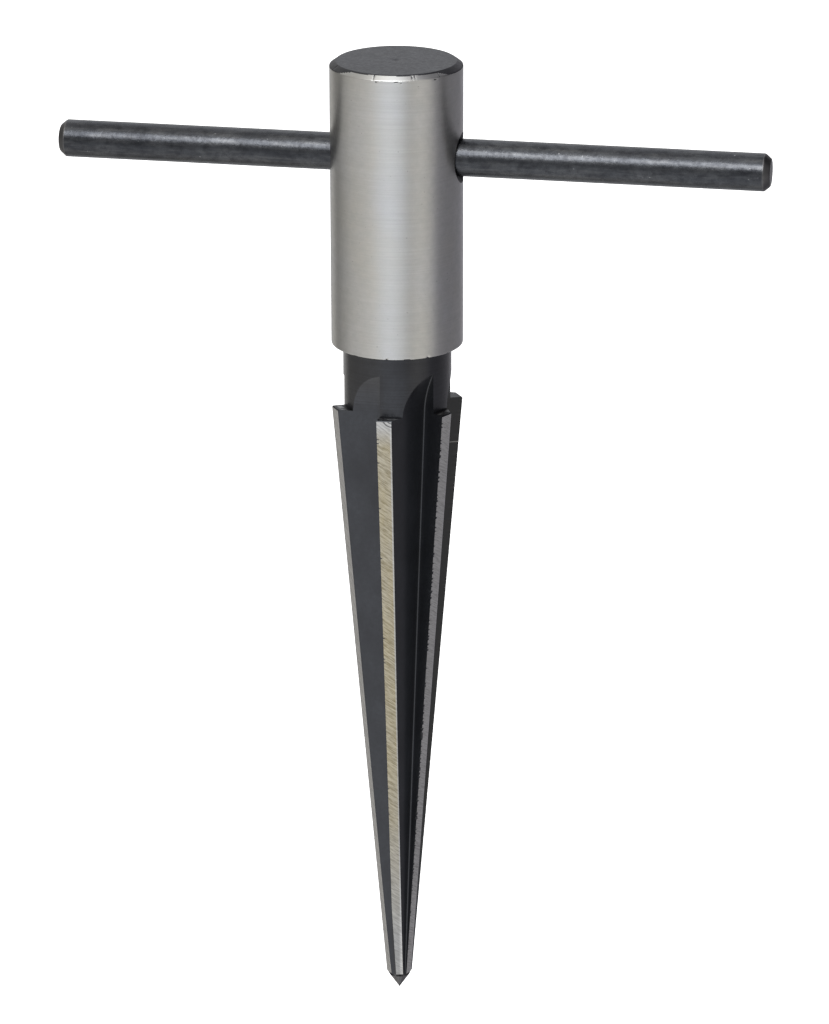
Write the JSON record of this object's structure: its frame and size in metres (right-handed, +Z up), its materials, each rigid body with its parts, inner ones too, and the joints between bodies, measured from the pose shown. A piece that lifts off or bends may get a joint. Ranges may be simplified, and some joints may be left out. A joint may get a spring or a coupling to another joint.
{
  "type": "t-handle deburring reamer",
  "caption": "T-handle hand reamer for opening and deburring pipe ends and holes: tapered fluted cutter, ground barrel hub and a sliding crossbar.",
  "frame": {"origin": "the sharp end of the cutting point, on the tool's axis", "axes": "+Z up the tool's axis from the point to the top of the hub; X along the crossbar; the front cutting land faces -Y"},
  "size_m": [0.0952, 0.0178, 0.1333],
  "materials": {
    "ground_steel": "fine ground, satin, bright",
    "blackened_tool_steel": "black oxide, satin, with bright ground lands",
    "blackened_bar": "black oxide, semi-gloss"
  },
  "bodies": {
    "reamer_body": {"hub": "ground_steel", "reamer": "blackened_tool_steel"},
    "crossbar": {"tee_bar": "blackened_bar"}
  },
  "joints": [
    {"name": "crossbar_slide", "type": "slide", "parent": "reamer_body", "child": "crossbar", "axis": [1, 0, 0], "range_m": [-0.0405, 0.0365]}
  ]
}
